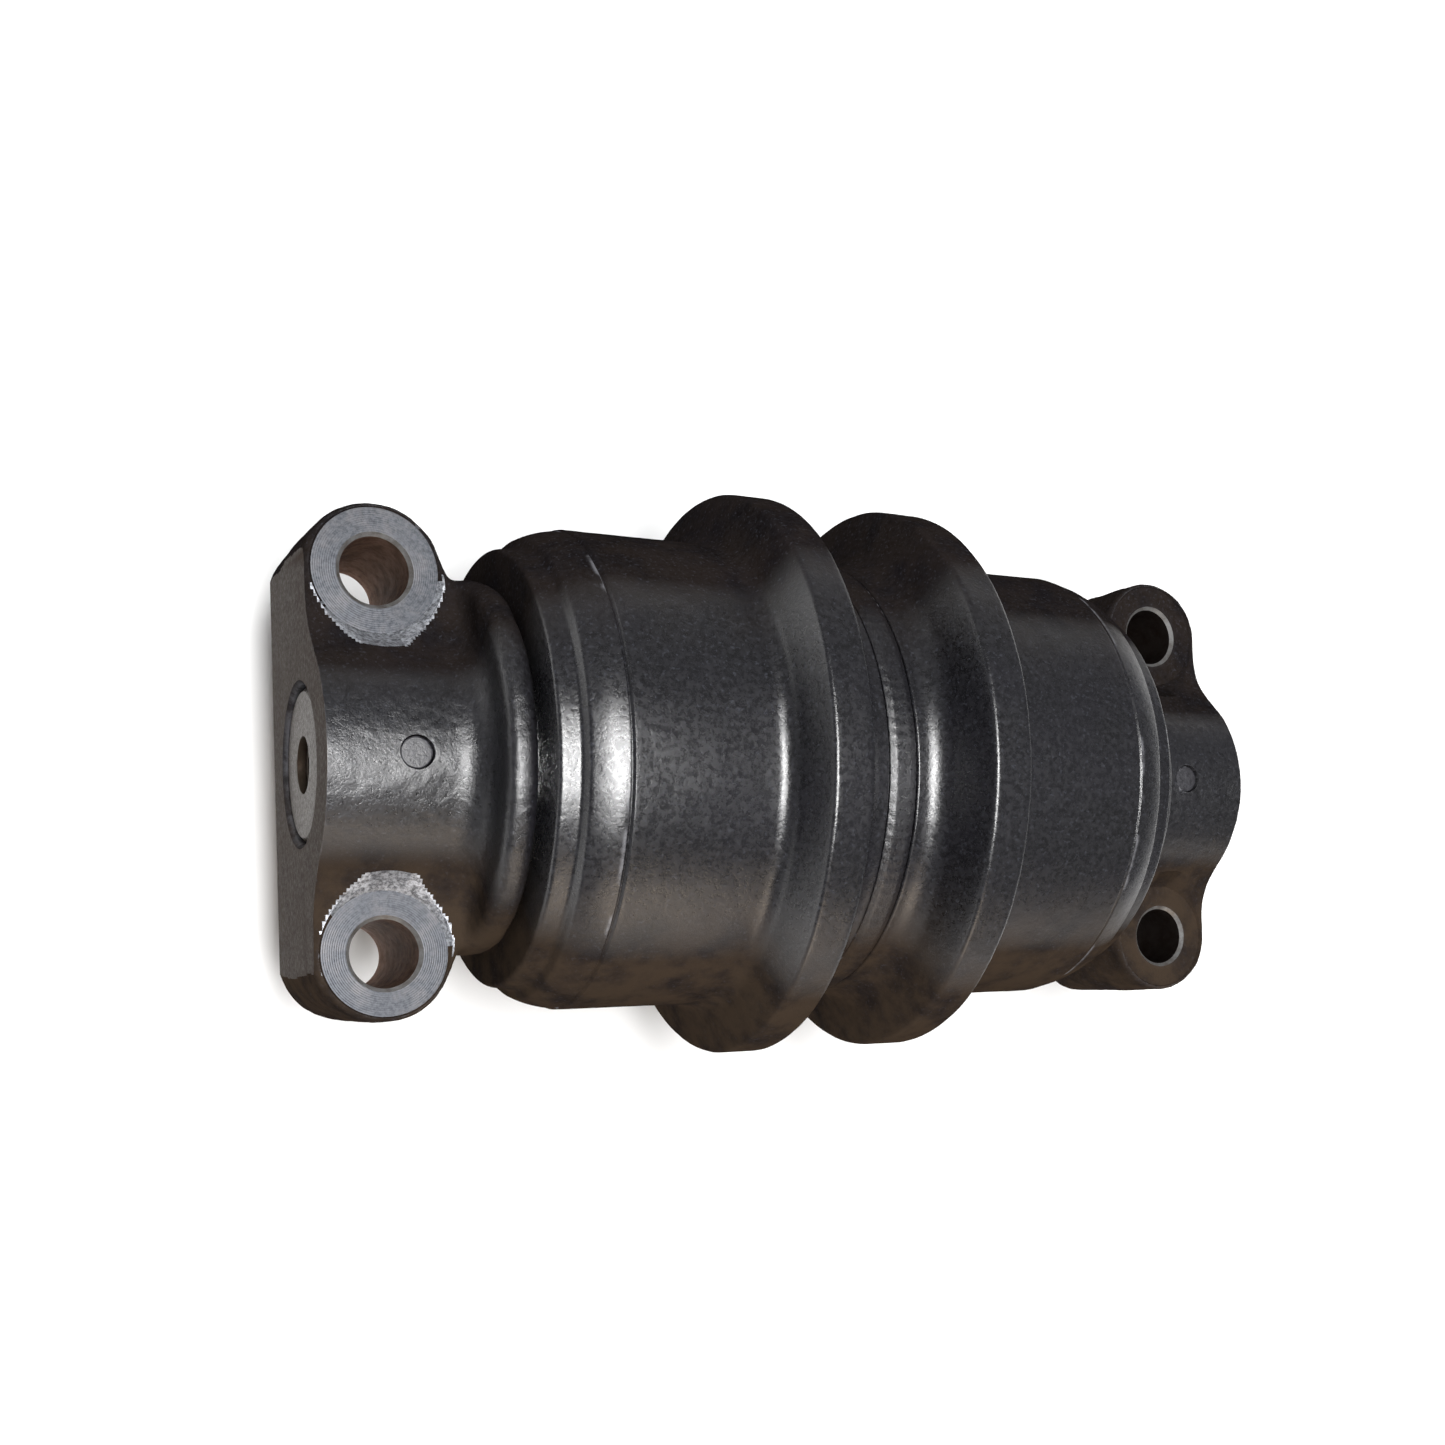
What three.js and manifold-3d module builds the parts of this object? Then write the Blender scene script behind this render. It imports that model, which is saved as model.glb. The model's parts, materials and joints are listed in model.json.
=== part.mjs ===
// Track roller with two centre flanges: a welded shell that turns on a fixed shaft between two bolt-on collars.
// Units are millimetres. +X runs along the roller's axis. +Z points to the side where the bolt heads sit, so
// the collars' mount faces look along -Z. The origin is on the axis, midway between the collars.

import * as THREE from "three";
import { mergeVertices } from "three/addons/utils/BufferGeometryUtils.js";
import Module from "manifold-3d";

const wasm = await Module();
wasm.setup();

// ---- Driving dimensions ----
const GAP = 0.3; // clearance between neighbouring pieces
const COARSE = 24; // segments round small pieces
const FINE = 36; // segments round large pieces

const boltPitchX = 248; // between the bolt rows of the two collars
const boltPitchY = 97; // between the two bolts of one collar
const boltHoleR = 8.75; // clearance hole for an M16 bolt
const spotFaceR = 15.2; // machined seat for the bolt head
const spotWallR = 20.8; // top of the sloping wall that the seat's cutter leaves
const spotWallHeight = 6.5;
const lugR = 17.5; // rounded end of a lug, and half the lug bar's width
const mountZ = -32; // plane of the mount faces
const spotZ = 12; // plane of the bolt seats
const lugTopZ = 14; // forged top of a lug, round its machined seat

const shaftR = 20;
const barrelR = 33; // collar barrel round the shaft
const discR = 49; // disc that closes the shell's end
const discWidth = 8;
const discFaceGap = 1.2; // between the disc and the shell's end

const shellEnd = 93; // from the middle to the shell's end face
const treadR = 64.5;
const endBandR = 63.2; // outer end of the tread's end band
const stepX = 76; // where the tread meets its end band
const endLipR = 58; // lip at the shell's end
const endLipWidth = 7;
const filletX = 38.5; // where the tread meets the flange's outer flank
const crownOuterX = 29;
const crownInnerX = 18.5;
const flangeR = 78.8;
const valleyR = 62;
const valleyX = 10.5; // half the width of the valley's floor
const weldHalfWidth = 4;
const weldDepth = 10;
const weldProud = 0.8;

const sealHousingR = 42; // bore that holds a rubber toric
const sealRingInnerR = 32;
const sealRingOuterR = 39.5;
const noseR = 29.7; // collar's nose, which takes the bush's thrust
const bushR = 25;
const bushFlangeR = 30.5;
const bushFlangeThickness = 4;
const bushLength = 44;
const oilCavityR = 29;
const toricR = 38.8; // middle of the rubber ring's section
const toricSectionR = 2.8;
const toricX = 6; // from the running face of the metal seal rings
const oRingSectionR = 1.55;
const oRingGrooveDepth = 3.6;
const oRingGrooveWidth = 4;

const pinR = 4; // pin that locks a collar to the shaft
const pinFootZ = -15;
const oilBoreR = 3; // bore along the shaft, from its left end
const crossHoleR = 2.5; // from the oil bore to the bushes
const plugR = 7;
const plugLength = 11;
const plugSunk = 2; // below the shaft's end face
const plugBoreDepth = 14;
const hexSocketR = 3.6;
const hexSocketDepth = 5;

// ---- Places worked out from the driving dimensions ----
const boltX = boltPitchX / 2;
const boltY = boltPitchY / 2;
const collarEnd = boltX + lugR;
const shaftEnd = collarEnd - 1;
const sealFaceX = shellEnd - 2; // where the two metal seal rings run on each other
const thrustX = shellEnd - 12; // outer face of the bush's flange
const bushInnerX = thrustX - bushLength;
const discInnerX = shellEnd + discFaceGap;
const discOuterX = discInnerX + discWidth;
const pinX = boltX - 4;
const oRingX = boltX - 15;

// ---- Solid helpers ----

// A closed three.js geometry as a manifold-3d solid.
function solidOf(geometry) {
  const bare = geometry.clone();
  bare.deleteAttribute("normal");
  bare.deleteAttribute("uv");
  const merged = mergeVertices(bare, 1e-4);
  const corners = merged.index.array;
  const kept = [];
  for (let i = 0; i < corners.length; i += 3) {
    const [a, b, c] = corners.slice(i, i + 3);
    if (a !== b && b !== c && c !== a) kept.push(a, b, c);
  }
  const vertProperties = merged.attributes.position.array;
  const triVerts = new Uint32Array(kept);
  return new wasm.Manifold(new wasm.Mesh({ numProp: 3, vertProperties, triVerts }));
}

// A manifold-3d solid as a three.js geometry.
function geometryOf(solid) {
  const mesh = solid.getMesh();
  const geometry = new THREE.BufferGeometry();
  geometry.setAttribute("position", new THREE.BufferAttribute(mesh.vertProperties, 3));
  geometry.setIndex(new THREE.BufferAttribute(mesh.triVerts, 1));
  const flat = geometry.toNonIndexed();
  flat.computeVertexNormals();
  return flat;
}

// A body of revolution about X. The profile is a loop of [x, radius] points, clockwise with x to the right.
function turned(profile, segments = FINE) {
  const loop = [...profile, profile[0]].map(([x, r]) => new THREE.Vector2(r, x));
  return solidOf(new THREE.LatheGeometry(loop, segments).rotateZ(-Math.PI / 2));
}

// A plain disc or rod along X.
function rod(x0, x1, radius, segments = COARSE) {
  const geometry = new THREE.CylinderGeometry(radius, radius, x1 - x0, segments);
  return solidOf(geometry.rotateZ(-Math.PI / 2).translate((x0 + x1) / 2, 0, 0));
}

// A round tool or pin along Z, which may be conical.
function post(x, y, z0, z1, lowR, highR = lowR, segments = COARSE) {
  const geometry = new THREE.CylinderGeometry(highR, lowR, z1 - z0, segments);
  return solidOf(geometry.rotateX(Math.PI / 2).translate(x, y, (z0 + z1) / 2));
}

// A ring of round section about X.
function torus(x, centreR, sectionR) {
  const geometry = new THREE.TorusGeometry(centreR, sectionR, 8, COARSE);
  return solidOf(geometry.rotateY(Math.PI / 2).translate(x, 0, 0));
}

// Points of an arc in a profile, from one angle to another in degrees, both ends included.
function arc(cx, cr, radius, from, to, steps = 3) {
  return Array.from({ length: steps + 1 }, (_, i) => {
    const angle = THREE.MathUtils.degToRad(from + ((to - from) * i) / steps);
    return [cx + radius * Math.cos(angle), cr + radius * Math.sin(angle)];
  });
}

// ---- Pieces, each made for the right-hand end, at +X ----

// Half of the shell: end band, tread, flange, half the valley, and the stepped bore for bush and seal.
function shellHalf() {
  const filletR = 6;
  const crownR = 2.5;
  return turned([
    [GAP / 2, oilCavityR],
    [GAP / 2, valleyR - weldDepth - GAP],
    [weldHalfWidth + GAP, valleyR - weldDepth - GAP],
    [weldHalfWidth + GAP, valleyR],
    [valleyX, valleyR],
    ...arc(crownInnerX + 0.5, flangeR - crownR, crownR, 170, 90),
    ...arc(crownOuterX - crownR, flangeR - crownR, crownR, 90, 20),
    ...arc(filletX, treadR + filletR, filletR, 195, 270),
    [stepX, treadR],
    [stepX + 0.8, treadR - 0.5],
    [shellEnd - endLipWidth - 5, endBandR],
    [shellEnd - endLipWidth - 3, endBandR - 1.2],
    [shellEnd - endLipWidth, endLipR + 0.4],
    [shellEnd - 1.2, endLipR],
    [shellEnd, endLipR - 1.2],
    [shellEnd, sealHousingR],
    [thrustX, sealHousingR],
    [thrustX, bushFlangeR + GAP + 0.5],
    [thrustX - bushFlangeThickness - GAP, bushFlangeR + GAP + 0.5],
    [thrustX - bushFlangeThickness - GAP, bushR + GAP],
    [bushInnerX - 3, bushR + GAP],
    [bushInnerX - 7, oilCavityR],
  ]);
}

// The ring of weld at the bottom of the valley.
function centreWeld() {
  const half = weldHalfWidth;
  return turned([
    [-half, valleyR - weldDepth],
    [-half, valleyR - 0.2],
    ...arc(0, valleyR + weldProud - 11, 11, 108, 72, 4),
    [half, valleyR - 0.2],
    [half, valleyR - weldDepth],
  ]);
}

// Flanged bush: pressed into the shell, its flange runs against the collar's nose.
function bush() {
  return turned([
    [bushInnerX, shaftR + GAP],
    [bushInnerX, bushR],
    [thrustX - bushFlangeThickness, bushR],
    [thrustX - bushFlangeThickness, bushFlangeR],
    [thrustX, bushFlangeR],
    [thrustX, shaftR + GAP],
  ], COARSE);
}

// Metal ring of the face seal. "side" is +1 for the fixed ring, which lies outboard, and -1 for the other.
function sealRing(side) {
  const x = (distance) => sealFaceX + side * (GAP / 2 + distance);
  const profile = [
    [x(0), sealRingInnerR],
    [x(0), sealRingOuterR],
    [x(2.5), sealRingOuterR],
    [x(3.2), sealRingInnerR + 4],
    [x(7.5), sealRingInnerR + 3.2],
    [x(7.5), sealRingInnerR],
  ];
  return turned(side > 0 ? profile : profile.reverse(), COARSE);
}

// Rubber ring behind the metal seal ring.
function toric(side) {
  return torus(sealFaceX + side * toricX, toricR, toricSectionR);
}

// Cross-section of the collar's lug bar: flat foot, level lugs, and hollows that sweep up to the barrel.
function lugSection() {
  const sweepR = 9;
  const sweepZ = lugTopZ + sweepR;
  const reach = barrelR + sweepR;
  const sweepY = Math.sqrt(reach * reach - sweepZ * sweepZ);
  const touch = Math.atan2(sweepZ, sweepY);
  const halfWidth = boltY + lugR + 1; // a little wider than the plan that trims it
  const shape = new THREE.Shape();
  shape.moveTo(-halfWidth, mountZ);
  shape.lineTo(halfWidth, mountZ);
  shape.lineTo(halfWidth, lugTopZ);
  shape.lineTo(sweepY, lugTopZ);
  shape.absarc(sweepY, sweepZ, sweepR, -Math.PI / 2, touch - Math.PI, true);
  shape.absarc(0, 0, barrelR, touch, Math.PI - touch, false);
  shape.absarc(-sweepY, sweepZ, sweepR, -touch, -Math.PI / 2, true);
  shape.lineTo(-halfWidth, lugTopZ);
  return shape;
}

// The lug bar: the section above, run along X and trimmed to round ends in plan.
function lugBar() {
  const width = 2 * lugR;
  const bar = new THREE.ExtrudeGeometry(lugSection(), { depth: width, bevelEnabled: false, curveSegments: 5 });
  // The section's x and y become Y and Z, and its depth runs along X.
  bar.applyMatrix4(new THREE.Matrix4().makeBasis(
    new THREE.Vector3(0, 1, 0),
    new THREE.Vector3(0, 0, 1),
    new THREE.Vector3(1, 0, 0),
  ));
  bar.translate(boltX - lugR, 0, 0);
  const plan = new THREE.Shape();
  plan.moveTo(boltX + lugR, -boltY);
  plan.absarc(boltX, boltY, lugR, 0, Math.PI, false);
  plan.absarc(boltX, -boltY, lugR, Math.PI, 2 * Math.PI, false);
  const height = 2 * barrelR + 10;
  const trim = new THREE.ExtrudeGeometry(plan, { depth: height, bevelEnabled: false, curveSegments: 10 });
  trim.translate(0, 0, -height / 2);
  return solidOf(bar).intersect(solidOf(trim));
}

// Barrel, neck, disc and nose of the collar, as one turned body that is bored afterwards.
function collarCore() {
  const neckR = 9;
  const rimR = 3.5;
  const startR = 5; // inside the shaft bore, which is cut later
  return turned([
    [thrustX + GAP, startR],
    [thrustX + GAP, noseR],
    [discInnerX + 7, noseR],
    [discInnerX + 7, sealHousingR],
    [discInnerX, sealHousingR],
    [discInnerX, discR],
    ...arc(discOuterX - rimR, discR - rimR, rimR, 90, 0),
    ...arc(discOuterX + neckR, barrelR + neckR, neckR, 180, 270),
    [collarEnd, barrelR],
    [collarEnd, startR],
  ]);
}

// The collar: one forging, machined with a shaft bore, an O-ring groove, bolt holes, bolt seats and a pin hole.
function collar() {
  const past = 5; // how far each cutter runs past the metal
  const slab = new THREE.BoxGeometry(2 * lugR + 20, 3 * barrelR, 20);
  slab.translate(boltX + 10, 0, mountZ - 10);
  let body = collarCore().add(lugBar()).subtract(solidOf(slab));
  const grooveEnd = oRingX + oRingGrooveWidth / 2;
  body = body.subtract(rod(thrustX - past, collarEnd + past, shaftR + GAP, FINE));
  body = body.subtract(rod(grooveEnd - oRingGrooveWidth, grooveEnd, shaftR + GAP + oRingGrooveDepth, FINE));
  body = body.subtract(post(pinX, 0, 0, barrelR + past, pinR + GAP, pinR + GAP, 20));
  const wallTopZ = spotZ + spotWallHeight;
  for (const y of [-boltY, boltY]) {
    body = body.subtract(post(boltX, y, mountZ - past, spotZ + past, boltHoleR));
    body = body.subtract(post(boltX, y, spotZ, wallTopZ, spotFaceR, spotWallR));
    body = body.subtract(post(boltX, y, wallTopZ, barrelR + past, spotWallR));
  }
  return body;
}

// Pin that locks the collar to the shaft.
function lockPin() {
  return post(pinX, 0, pinFootZ, barrelR - 1, pinR, pinR, 20);
}

// O-ring in the collar's bore.
function collarORing() {
  return torus(oRingX, shaftR + GAP + oRingSectionR + 0.1, oRingSectionR);
}

// The shaft: pin holes at both ends, and an oil bore from the left end with cross holes to the bushes.
function shaft() {
  const chamfer = 1.5;
  const past = 5;
  const oilBoreEnd = (thrustX + bushInnerX) / 2;
  const crossHoleX = oilBoreEnd - crossHoleR;
  let body = turned([
    [-shaftEnd, 0],
    [-shaftEnd, shaftR - chamfer],
    [chamfer - shaftEnd, shaftR],
    [shaftEnd - chamfer, shaftR],
    [shaftEnd, shaftR - chamfer],
    [shaftEnd, 0],
  ], COARSE);
  body = body.subtract(rod(-shaftEnd - past, oilBoreEnd, oilBoreR, 16));
  body = body.subtract(rod(-shaftEnd - past, plugBoreDepth - shaftEnd, plugR + GAP));
  for (const side of [-1, 1]) {
    body = body.subtract(post(side * pinX, 0, pinFootZ - GAP, shaftR + past, pinR + GAP, pinR + GAP, 20));
    body = body.subtract(post(side * crossHoleX, 0, 0, shaftR + past, crossHoleR, crossHoleR, 12));
  }
  return body;
}

// Screwed plug in the mouth of the oil bore, with a hexagon socket.
function oilPlug() {
  const face = plugSunk - shaftEnd;
  const socket = rod(face - 1, face + hexSocketDepth, hexSocketR, 6);
  return rod(face, face + plugLength, plugR).subtract(socket);
}

// ---- Assembly ----

const finishes = {
  paint: { color: 0x2b2a2c, roughness: 0.45, metalness: 0.3 },
  forged: { color: 0x343236, roughness: 0.55, metalness: 0.4 },
  steel: { color: 0x9b9da1, roughness: 0.35, metalness: 0.9 },
  bronze: { color: 0xb08a4e, roughness: 0.4, metalness: 0.9 },
  rubber: { color: 0x171717, roughness: 0.9, metalness: 0 },
};

function named(name, finish, solid) {
  const mesh = new THREE.Mesh(geometryOf(solid), new THREE.MeshStandardMaterial(finishes[finish]));
  mesh.name = name;
  return mesh;
}

// Pieces that come once at each end. The left copy is the right one turned round the Z axis.
const pairedPieces = [
  ["shell_half", "paint", shellHalf()],
  ["bush", "bronze", bush()],
  ["turning_seal_ring", "steel", sealRing(-1)],
  ["turning_toric", "rubber", toric(-1)],
  ["collar", "forged", collar()],
  ["collar_o_ring", "rubber", collarORing()],
  ["lock_pin", "steel", lockPin()],
  ["fixed_seal_ring", "steel", sealRing(1)],
  ["fixed_toric", "rubber", toric(1)],
];

const roller = new THREE.Group();
roller.add(named("centre_weld", "paint", centreWeld()));
roller.add(named("shaft", "steel", shaft()));
roller.add(named("oil_plug", "steel", oilPlug()));
for (const [piece, finish, solid] of pairedPieces) {
  roller.add(named("right_" + piece, finish, solid));
  const left = named("left_" + piece, finish, solid);
  left.rotation.z = Math.PI;
  roller.add(left);
}

export default roller;
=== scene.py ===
"""Looks of a track roller.

A black shell with two centre flanges between two forged collars, lying on a pale floor.
"""

import json
import math

import bmesh
import bpy
import numpy as np
from mathutils import Euler, Matrix, Vector, noise


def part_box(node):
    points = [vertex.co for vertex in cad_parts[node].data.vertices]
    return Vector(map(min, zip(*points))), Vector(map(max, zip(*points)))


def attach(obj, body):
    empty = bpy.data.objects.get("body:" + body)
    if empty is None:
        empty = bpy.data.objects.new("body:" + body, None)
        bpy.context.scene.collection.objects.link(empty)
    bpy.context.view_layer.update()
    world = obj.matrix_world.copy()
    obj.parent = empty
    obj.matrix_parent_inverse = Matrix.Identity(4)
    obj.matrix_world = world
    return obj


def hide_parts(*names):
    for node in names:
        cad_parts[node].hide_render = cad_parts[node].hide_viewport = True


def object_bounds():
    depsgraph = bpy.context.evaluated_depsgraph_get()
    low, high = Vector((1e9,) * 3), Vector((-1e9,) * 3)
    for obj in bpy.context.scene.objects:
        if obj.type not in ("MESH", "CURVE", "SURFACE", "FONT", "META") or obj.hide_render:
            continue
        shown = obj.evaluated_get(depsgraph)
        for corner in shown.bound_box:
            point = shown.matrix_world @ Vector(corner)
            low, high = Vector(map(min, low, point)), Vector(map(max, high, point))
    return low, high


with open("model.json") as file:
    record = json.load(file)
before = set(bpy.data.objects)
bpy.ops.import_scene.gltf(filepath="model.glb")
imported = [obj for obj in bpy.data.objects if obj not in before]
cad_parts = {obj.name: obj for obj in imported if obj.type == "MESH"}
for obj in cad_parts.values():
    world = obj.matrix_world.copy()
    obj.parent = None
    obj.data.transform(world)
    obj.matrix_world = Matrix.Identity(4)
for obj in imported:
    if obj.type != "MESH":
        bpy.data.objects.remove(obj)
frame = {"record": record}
cad_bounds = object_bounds()

# ---- Dimensions in millimetres. What the frame holds is read from it. ----
MM = 0.001


def frame_mm(node, corner, axis):
    return getattr(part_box(node)[corner], axis) / MM


def mounts_mm(name, axis):
    mounts = {m["name"]: m for m in frame["record"]["mounts"]}
    return mounts[name]["pos_m"][axis] / MM


GAP = 0.3
ROUGHNESS = 0.2
SHELL_END = frame_mm("right_shell_half", 1, "x")
FLANGE_R = frame_mm("right_shell_half", 1, "z") - ROUGHNESS
COLLAR_END = frame_mm("right_collar", 1, "x")
COLLAR_NOSE = frame_mm("right_collar", 0, "x")
DISC_R = frame_mm("right_collar", 1, "z")
LUG_REACH = frame_mm("right_collar", 1, "y")
SHAFT_R = frame_mm("shaft", 1, "z")
SHAFT_END = frame_mm("shaft", 1, "x")
WELD_HALF = frame_mm("centre_weld", 1, "x")
WELD_R = frame_mm("centre_weld", 1, "z")
BOLT_X = mounts_mm("right_mount_face", 0)
MOUNT_Z = mounts_mm("right_mount_face", 2)
SEAT_Z = mounts_mm("right_back_bolt_seat", 2)

LUG_R = COLLAR_END - BOLT_X
BOLT_Y = LUG_REACH - LUG_R
LUG_TOP_Z = 13
BOLT_HOLE_R = 8.75
SEAT_R = 15.9
ROUGH_SEAT_R = 20.6
ROUGH_SEAT_HEIGHT = 6.4
LOW_WALL_HEIGHT = 0.9
BARREL_R = 33
BARREL_MIDDLE_X = 122
BARREL_HALF_LENGTH = 22
NOSE_MIDDLE_X = 98
DISC_FILLET_R = 9
LUG_FILLET_R = 11
LUG_DRAFT = 0.012
LUG_END_SCALE = 0.95
DISC_WIDTH = 8
DISC_INNER_X = SHELL_END + 1.2
TREAD_R = 64.5
VALLEY_R = 62
STEP_X = SHELL_END - 17
THRUST_DEPTH = 12
HOUSING_R = 42
BUSH_R = 25
BUSH_LENGTH = 44
BUSH_FLANGE_R = 30.5
BUSH_FLANGE_WIDTH = 4
OIL_CAVITY_R = 29
NOSE_R = 29.7
O_RING_GROOVE_X = (107, 111)
O_RING_GROOVE_DEPTH = 3.9
SEAL_RING_INNER_R = 32
SEAL_RING_OUTER_R = 39.5
SHAFT_CHAMFER = 1.5
PLUG_R = 7
PLUG_BORE_R = 7.3
PLUG_BORE_DEPTH = 14
OIL_BORE_R = 3
OIL_BORE_END_X = 66
HEX_SOCKET_R = 4
HEX_SOCKET_DEPTH = 2
WELD_ROOT_R = 52
WELD_RIPPLES = 118
PIN_X = frame_mm("right_lock_pin", 0, "x") / 2 + frame_mm("right_lock_pin", 1, "x") / 2
PIN_R = frame_mm("right_lock_pin", 1, "y")


# ---- Mesh helpers ----

def mesh_object(name, points, faces):
    """An object from points in millimetres and lists of corner numbers, its faces turned outwards."""
    mesh = bpy.data.meshes.new(name)
    mesh.from_pydata((np.asarray(points) * MM).tolist(), [], faces)
    bm = bmesh.new()
    bm.from_mesh(mesh)
    bmesh.ops.remove_doubles(bm, verts=bm.verts, dist=1e-7)
    bmesh.ops.recalc_face_normals(bm, faces=bm.faces)
    bm.to_mesh(mesh)
    bm.free()
    piece = bpy.data.objects.new(name, mesh)
    bpy.context.scene.collection.objects.link(piece)
    return piece


def corner_arc(before, corner, after, radius, step):
    """Points that round one corner of an outline."""
    p = Vector(corner)
    to_before = (Vector(before) - p).normalized()
    to_after = (Vector(after) - p).normalized()
    half = to_before.angle(to_after) / 2
    if radius == 0 or half > math.radians(89.5):
        return [tuple(p)]
    centre = p + (to_before + to_after).normalized() * radius / math.sin(half)
    start = p + to_before * radius / math.tan(half) - centre
    end = p + to_after * radius / math.tan(half) - centre
    sweep = start.angle_signed(end)
    count = max(3, math.ceil(abs(sweep) * radius / step))
    turns = [Matrix.Rotation(-sweep * i / count, 2) for i in range(count + 1)]
    return [tuple(centre + turn @ start) for turn in turns]


def rounded_outline(corners, step=1.0, closed=True):
    """An (x, radius) outline from corners (x, radius, rounding), with points no further apart than step."""
    count = len(corners)
    rough = []
    for i, (x, r, rounding) in enumerate(corners):
        if not closed and i in (0, count - 1):
            rough.append((x, r))
            continue
        before = corners[i - 1][:2]
        after = corners[(i + 1) % count][:2]
        rough += corner_arc(before, (x, r), after, rounding, min(step, rounding / 4 or step))
    fine = []
    ends = rough[1:] + rough[:1] if closed else rough[1:]
    for a, b in zip(rough, ends):
        pieces = max(1, math.ceil(math.dist(a, b) / step))
        for i in range(pieces):
            x = a[0] + (b[0] - a[0]) * i / pieces
            r = a[1] + (b[1] - a[1]) * i / pieces
            fine.append((x, r))
    if not closed:
        fine.append(rough[-1])
    return np.array(fine)


def turned(name, outline, segments=192, closed=True):
    """A body of revolution about X from an (x, radius) outline."""
    outline = np.asarray(outline, float)
    count = len(outline)
    angle = np.arange(segments) * 2 * math.pi / segments
    x = np.repeat(outline[:, 0], segments)
    y = np.outer(outline[:, 1], np.cos(angle)).ravel()
    z = np.outer(outline[:, 1], np.sin(angle)).ravel()
    faces = []
    for i in range(count if closed else count - 1):
        here, there = i * segments, (i + 1) % count * segments
        for j in range(segments):
            k = (j + 1) % segments
            faces.append((here + j, here + k, there + k, there + j))
    return mesh_object(name, np.column_stack([x, y, z]), faces)


def aim_up(piece, x, y, side=1):
    """Turns a body made about X so that it stands along Z at (x, y)."""
    stand = Matrix.Translation((x * MM * side, y * MM, 0)) @ Matrix.Rotation(-math.pi / 2, 4, "Y")
    piece.data.transform(stand)
    return piece


def mirror_end(piece):
    """Moves a piece made for the right end to the left end, by half a turn about Z."""
    piece.data.transform(Matrix.Rotation(math.pi, 4, "Z"))
    return piece


def apply_modifiers(piece):
    depsgraph = bpy.context.evaluated_depsgraph_get()
    made = bpy.data.meshes.new_from_object(piece.evaluated_get(depsgraph))
    piece.modifiers.clear()
    piece.data = made


def cut(piece, cutter):
    """Takes the cutter's shape out of the piece and deletes the cutter."""
    modifier = piece.modifiers.new("cut", "BOOLEAN")
    modifier.operation = "DIFFERENCE"
    modifier.solver = "MANIFOLD"
    modifier.object = cutter
    apply_modifiers(piece)
    bpy.data.objects.remove(cutter)


def roughen(piece, layers, seed, keep=None):
    """Moves points along their normals by noise. Each layer is (size, depth) in millimetres."""
    offset = Vector((seed * 7.3, seed * 3.1, seed * 5.7))
    count = len(piece.data.vertices)
    points = np.empty(count * 3)
    normals = np.empty(count * 3)
    piece.data.vertices.foreach_get("co", points)
    piece.data.vertex_normals.foreach_get("vector", normals)
    depths = np.zeros(count)
    for i, row in enumerate(points.reshape(-1, 3) / MM):
        place = Vector(row)
        if not (keep and keep(place)):
            depths[i] = sum(noise.noise(place / size + offset) * amount for size, amount in layers)
    points += normals * np.repeat(depths, 3) * MM
    piece.data.vertices.foreach_set("co", points)


def shade(piece, sharp=38):
    """Smooth shading that keeps edges sharper than the angle."""
    limit = math.radians(sharp)
    bm = bmesh.new()
    bm.from_mesh(piece.data)
    for face in bm.faces:
        face.smooth = True
    for edge in bm.edges:
        edge.smooth = not (len(edge.link_faces) == 2 and edge.calc_face_angle() > limit)
    bm.to_mesh(piece.data)
    bm.free()


# ---- Forged shapes as distance fields ----

def blend_union(a, b, radius):
    """Joins two distance fields with a fillet."""
    overlap = np.maximum(radius - np.abs(a - b), 0)
    return np.minimum(a, b) - overlap**2 / (4 * radius)


def slab_field(across, along, half_across, half_along, rounding):
    """A shape given by two distances from its middle, with rounded edges."""
    a = across - (half_across - rounding)
    b = along - (half_along - rounding)
    outside = np.hypot(np.maximum(a, 0), np.maximum(b, 0))
    return outside + np.minimum(np.maximum(a, b), 0) - rounding


def surface_net(field, low, step):
    """Points and four-cornered faces of the surface where a field on a grid is zero."""
    inside = field < 0
    shape = np.array(field.shape)
    corner_steps = [(i, j, k) for i in (0, 1) for j in (0, 1) for k in (0, 1)]
    corner_slices = [tuple(slice(s, n - 1 + s) for s, n in zip(c, shape)) for c in corner_steps]
    filled = sum(inside[s].astype(int) for s in corner_slices)
    cells = np.argwhere((filled > 0) & (filled < 8))
    number = np.full(shape - 1, -1)
    number[tuple(cells.T)] = np.arange(len(cells))
    total = np.zeros((len(cells), 3))
    crossings = np.zeros(len(cells))
    for start in corner_steps:
        for axis in range(3):
            if start[axis]:
                continue
            a = cells + start
            b = a.copy()
            b[:, axis] += 1
            value_a, value_b = field[tuple(a.T)], field[tuple(b.T)]
            crossed = (value_a < 0) != (value_b < 0)
            share = np.where(crossed, value_a / np.where(crossed, value_a - value_b, 1), 0)
            point = a + share[:, None] * np.eye(3)[axis]
            total += point * crossed[:, None]
            crossings += crossed
    points = np.array(low) + total / crossings[:, None] * step
    faces = []
    for axis in range(3):
        one, two = (axis + 1) % 3, (axis + 2) % 3
        low_side = np.delete(np.moveaxis(inside, axis, 0), -1, 0)
        high_side = np.delete(np.moveaxis(inside, axis, 0), 0, 0)
        edges = np.argwhere(low_side != high_side)
        moved = [axis] + [k for k in range(3) if k != axis]
        place = np.zeros_like(edges)
        place[:, moved] = edges
        flat = []
        for back_one, back_two in ((1, 1), (0, 1), (0, 0), (1, 0)):
            cell = place.copy()
            cell[:, one] -= back_one
            cell[:, two] -= back_two
            flat.append(number[tuple(cell.T)])
        faces.append(np.column_stack(flat))
    return points, np.vstack(faces).tolist()


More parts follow.
